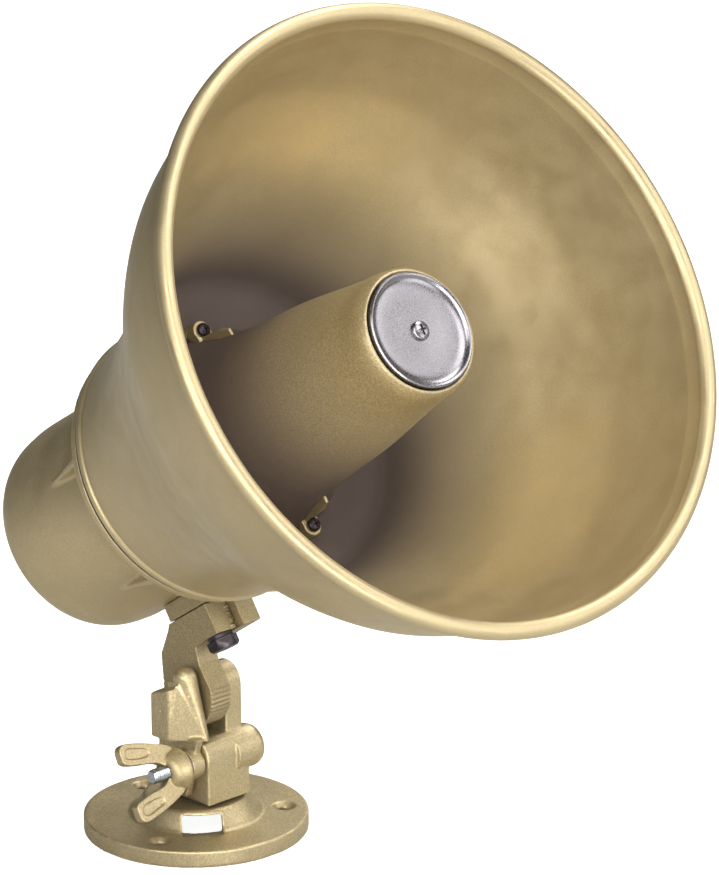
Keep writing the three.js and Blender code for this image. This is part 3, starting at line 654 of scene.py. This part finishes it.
def base():
    outline = [(HUB_R - 3, 0), (BASE_R, 0), (BASE_R, BASE_H), (HUB_R + 1, BASE_H),
               (HUB_R - 0.6, BASE_H + 1.2), (HUB_TOP_R + 0.4, HUB_TOP - 0.5), (HUB_TOP_R - 0.6, HUB_TOP),
               (POST_HOLE_R, HUB_TOP), (POST_HOLE_R, HUB_UNDER), (HUB_TOP_R - 2, HUB_UNDER),
               (HUB_R - 3, BASE_H - 1)]
    across = (-SLOT_HALF, SLOT_HALF)
    cutters = [
        box_mesh("slot", across, (-60, 60), (BASE_H, HUB_UNDER), ON_BASE),
        box_mesh("reach", across, (-HUB_R - 1, HUB_R + 1), (BASE_H - 0.7, BASE_H + 1), ON_BASE),
    ]
    hole = [(0, -1), (HOLE_R, -1), (HOLE_R, BASE_H - SINK_H), (SINK_R, BASE_H), (SINK_R, BASE_H + 1),
            (0, BASE_H + 1)]
    for degrees in (0, 120, 240):
        turn = ON_BASE @ Matrix.Rotation(math.radians(degrees), 4, "Z")
        cutters.append(lathe("hole", hole, turn @ Matrix.Translation((HOLE_CIRCLE_R, 0, 0)), 48))
    return cast("base", [lathe("disc", outline, ON_BASE, 192, closed=True)], 0.5, 4, cutters)


show(base(), "base", "base_flange", bracket_paint)


# ---- clamp ------------------------------------------------------------------------------------------
JAW_BACK, SLOPE_END, ABOVE = 8, 59.2, 80


def slope(inner, front, start):
    """A cutter that takes the jaw's top down, from the start height at its front, outward of inner."""
    corners = ((front, start), (JAW_BACK, SLOPE_END), (JAW_BACK, ABOVE), (front, ABOVE))
    return hull_mesh("slope", [(x, y, z) for x in (-30, inner) for y, z in corners])


show(cast("clamp_right", [node_mesh("clamp_block")], 0.4, 9), "clamp", "clamp_block",
     bracket_paint)
slopes = [slope(-15.2, -7, 64.6), slope(-3, -1.2, 63)]
show(cast("clamp_left", [node_mesh("clamp_jaw")], 0.4, 14, slopes), "clamp", "clamp_jaw",
     bracket_paint)

# ---- clamp bolt, washer and hinge pin ---------------------------------------------------------------
THREAD_R, PITCH = 3.0, 1.0
LEAD_IN, LEAD_DEPTH = 0.9, 0.7


def thread(low, high, place):
    """A rod with a helical thread, pointed at its low end."""
    steps, per_turn = 14, 36
    rows = int((high - low) / PITCH * steps)
    verts, faces = [], []
    for row in range(rows + 1):
        for i in range(per_turn):
            angle = 2 * math.pi * i / per_turn
            z = low + row * PITCH / steps
            phase = (row / steps - i / per_turn) % 1
            depth = 0.58 * PITCH * (1 - abs(2 * phase - 1)) ** 0.9
            lead = max(0.0, 1.0 - (z - low) / LEAD_IN) * LEAD_DEPTH
            reach = THREAD_R - max(depth, lead)
            verts.append((reach * math.cos(angle), reach * math.sin(angle), z))
    for row in range(rows):
        for i in range(per_turn):
            j = (i + 1) % per_turn
            one, two = row * per_turn, (row + 1) * per_turn
            faces.append((one + i, one + j, two + j, two + i))
    faces.append(tuple(reversed(range(per_turn))))
    faces.append(tuple(range(rows * per_turn, (rows + 1) * per_turn)))
    return mesh_of("thread", verts, faces, place)


clamp_bolt = joined("clamp_bolt", [
    thread(-33.4, -10, ON_BOLT), rod("shank", 2.95, -11, 17, ON_BOLT),
    rod("head", 5.0, 16.9, 20.5, ON_BOLT, edge=0.9),
])
show(smooth_shaded(new_object("bolt_look", clamp_bolt), 35), "clamp", "clamp_bolt", zinc_steel)
# black steel makes the washer painted shade, for the dark groove between the wing nut and the boss
washer = new_object("washer", lathe("washer", ring(3.3, 6.6, -17.8, -16.7), ON_BOLT, 64, closed=True))
show(smooth_shaded(washer, 35), "clamp", "clamp_washer", black_steel)
pin = new_object("pin", rod("pin", 2.5, -17, 12.6, Matrix.Translation(HINGE) @ ALONG_X, edge=0.5))
show(smooth_shaded(pin, 35), "clamp", "hinge_pin", black_steel)

# ---- wing nut ---------------------------------------------------------------------------------------
# (along the bolt, away from it) points of one wing and of the sunk panel on its faces
WING = [(-19.5, 4), (-20, 8.4), (-25, 11.2), (-31, 13.2), (-37, 14.9), (-42.6, 15.9), (-45.4, 14.6),
        (-46, 11.6), (-45.2, 8.2), (-38, 6.2), (-31, 5.2), (-27.5, 3.6), (-25, 1.4)]
WING_PANEL = [(-32.4, 11.2), (-37, 12.7), (-41.6, 13.7), (-43.4, 12.6), (-43.4, 10.4), (-41.4, 9.2),
              (-36, 8.4), (-32.6, 8.6)]

WING_TURN = math.radians(-26)
WING_HALF = 1.9
PANEL_LOW, PANEL_HIGH = 1.1, 3


def wing_nut():
    place = Matrix.Translation(BOLT) @ Matrix.Rotation(WING_TURN, 4, "X")
    upright = place @ Matrix.Rotation(math.pi / 2, 4, "X")
    hub = [(0, -26), (5.2, -26), (6.6, -24.8), (7.6, -22), (8.4, -20.2), (8.4, -18.1), (0, -18.1)]
    meshes = [lathe("hub", rounded(hub, 1.2), place @ ALONG_X, 64)]
    cutters = [rod("bore", 3.15, -33, -17, place @ ALONG_X, edge=0.1)]
    for side in (1, -1):
        outline = [(x, side * y) for x, y in closed_smooth(WING)]
        panel = [(x, side * y) for x, y in closed_smooth(WING_PANEL)]
        meshes.append(plate("wing", outline[::side], -WING_HALF, WING_HALF, upright))
        for low, high in ((PANEL_LOW, PANEL_HIGH), (-PANEL_HIGH, -PANEL_LOW)):
            cutters.append(plate("panel", panel[::side], low, high, upright))
    return cast("wing_nut_look", meshes, 0.3, 5, cutters)


show(wing_nut(), "wing", "wing_nut", bracket_paint)

# ---- arm and foot -----------------------------------------------------------------------------------
# the arm and the foot wear the darker gold, painted shade from the bell above them
show(cast("arm", [node_mesh("tilt_arm")], 0.26, 2), "horn", "tilt_arm", arm_paint)
show(cast("foot", [node_mesh("horn_foot")], 0.4, 6), "horn", "horn_foot", arm_paint)

PAD = -62.8
FOOT_BOLT_A = -28
ON_FOOT = IN_HORN @ Matrix.Translation((0, 0, FOOT_BOLT_A)) @ Matrix.Rotation(-math.pi / 2, 4, "X")


def around(count, r, z):
    """Points evenly spaced on a circle."""
    turns = [2 * math.pi * i / count for i in range(count)]
    return [(r * math.sin(turn), r * math.cos(turn), z) for turn in turns]


def hex_head(r, low, high, place):
    """A six-sided head whose low end is chamfered."""
    chamfer_r = r * math.cos(math.radians(30)) * 0.97
    sides = around(6, r, low + 0.9) + around(6, r, high)
    return hull_mesh("head", around(36, chamfer_r, low) + sides, place)


HEAD_TOP = PAD - 1.9
foot_bolt = joined("foot_bolt_look", [
    hex_head(6.35, HEAD_TOP - 4.2, HEAD_TOP, ON_FOOT), thread(HEAD_TOP - 0.5, -43.6, ON_FOOT),
])
foot_bolt = smooth_shaded(new_object("foot_bolt_look", foot_bolt), 30)
show(foot_bolt, "horn", "foot_bolt", black_steel)
foot_washer = lathe("foot_washer_look", ring(3.3, 5.2, PAD - 1.6, PAD - 0.3), ON_FOOT, 64, closed=True)
foot_washer = smooth_shaded(new_object("foot_washer_look", foot_washer), 30)
show(foot_washer, "horn", "foot_washer", black_steel)

# ---- inner pieces: the frame's own shapes, with their finishes --------------------------------------
INNER = {
    "zinc_steel": (zinc_steel, ["swivel_post", "top_plate", "yoke", "driver_screw_1", "driver_screw_2",
                                "driver_screw_3", "transformer_bracket"]),
    "moulded_plastic": (moulded_plastic, ["throat_tube", "driver_cap", "phase_plug", "spacer_ring",
                                          "terminal_block"]),
    "rubber": (rubber, ["throat_gasket"]),
    "ferrite": (ferrite, ["magnet"]),
    "black_steel": (black_steel, ["line_transformer_core"]),
    "copper": (copper, ["line_transformer_coil", "voice_coil"]),
    "phenolic": (phenolic, ["diaphragm"]),
}
for slot, (material, names) in INNER.items():
    for name in names:
        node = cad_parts[name]
        node.data.materials.clear()
        node.data.materials.append(material)

# ---- floor and light --------------------------------------------------------------------------------
FLOOR_HALF, FLOOR_Z = 9000, -0.2
WARM_WHITE = (1, 1, 0.985)

floor_corners = [(x * FLOOR_HALF, y * FLOOR_HALF, FLOOR_Z) for x, y in ((-1, -1), (1, -1), (1, 1), (-1, 1))]
floor = new_object("floor", mesh_of("floor", floor_corners, [(0, 1, 2, 3)]))
card = Shader("floor_card")
card.set(Base_Color=card.mix(card.noise(30), (0.5, 0.5, 0.495), (0.53, 0.53, 0.52)), Roughness=0.9)
seen = card.nodes.new("ShaderNodeLightPath").outputs["Is Camera Ray"]
card.set(Emission_Color=WARM_WHITE, Emission_Strength=card.maths("MULTIPLY", seen, 0.9))
floor.data.materials.append(card.material)


def area_light(name, toward, power, distance=1.7, size=0.9, aim=Vector((0, -0.05, 0.18)), spread=180):
    """A soft disk light. toward says how far right, up and towards the camera it lies from its aim."""
    data = bpy.data.lights.new(name, "AREA")
    data.shape, data.size, data.energy, data.spread = "DISK", size, power, math.radians(spread)
    light = bpy.data.objects.new(name, data)
    bpy.context.scene.collection.objects.link(light)
    way = (right * toward[0] + up * toward[1] + back * toward[2]).normalized()
    light.visible_camera = False
    light.location = aim + way * distance
    light.rotation_mode = "QUATERNION"
    light.rotation_quaternion = way.to_track_quat("Z", "Y")


# (how far right, up and towards the camera), watts
LIGHTS = {
    "front": ((0, 0, 1), 14), "front_left": ((-0.53, 0, 0.85), 12), "front_top": ((0, 0.46, 0.85), 11),
    "low_right": ((0.26, -0.46, 0.85), 20), "right": ((0.88, 0, 0.47), 7),
    "upper_right": ((0.62, 0.62, 0.47), 10), "side": ((0.92, 0.38, 0), 6), "top": ((0.38, 0.92, 0), 15),
    "back": ((0.2, 0.9, -0.5), 7),
}
for name, (toward, power) in LIGHTS.items():
    area_light(name, toward, power)
area_light("base", (0.55, -0.28, 0.85), 0.11, distance=0.9, size=0.3, aim=Vector((0, 0, 0.02)), spread=22)

# the world is a plain white backdrop to the camera, and a dim light to everything else
AMBIENT = 0.03
world = bpy.data.worlds.new("studio")
world.use_nodes = True
tree = world.node_tree
dim = tree.nodes["Background"]
dim.inputs["Color"].default_value = (1, 1, 1, 1)
dim.inputs["Strength"].default_value = AMBIENT
paper = tree.nodes.new("ShaderNodeBackground")
paper.inputs["Color"].default_value = (*WARM_WHITE, 1)
paper.inputs["Strength"].default_value = 1.0
choice = tree.nodes.new("ShaderNodeMixShader")
tree.links.new(tree.nodes.new("ShaderNodeLightPath").outputs["Is Camera Ray"], choice.inputs[0])
tree.links.new(dim.outputs[0], choice.inputs[1])
tree.links.new(paper.outputs[0], choice.inputs[2])
tree.links.new(choice.outputs[0], tree.nodes["World Output"].inputs["Surface"])
bpy.context.scene.world = world
bpy.context.scene.view_settings.view_transform = "Standard"
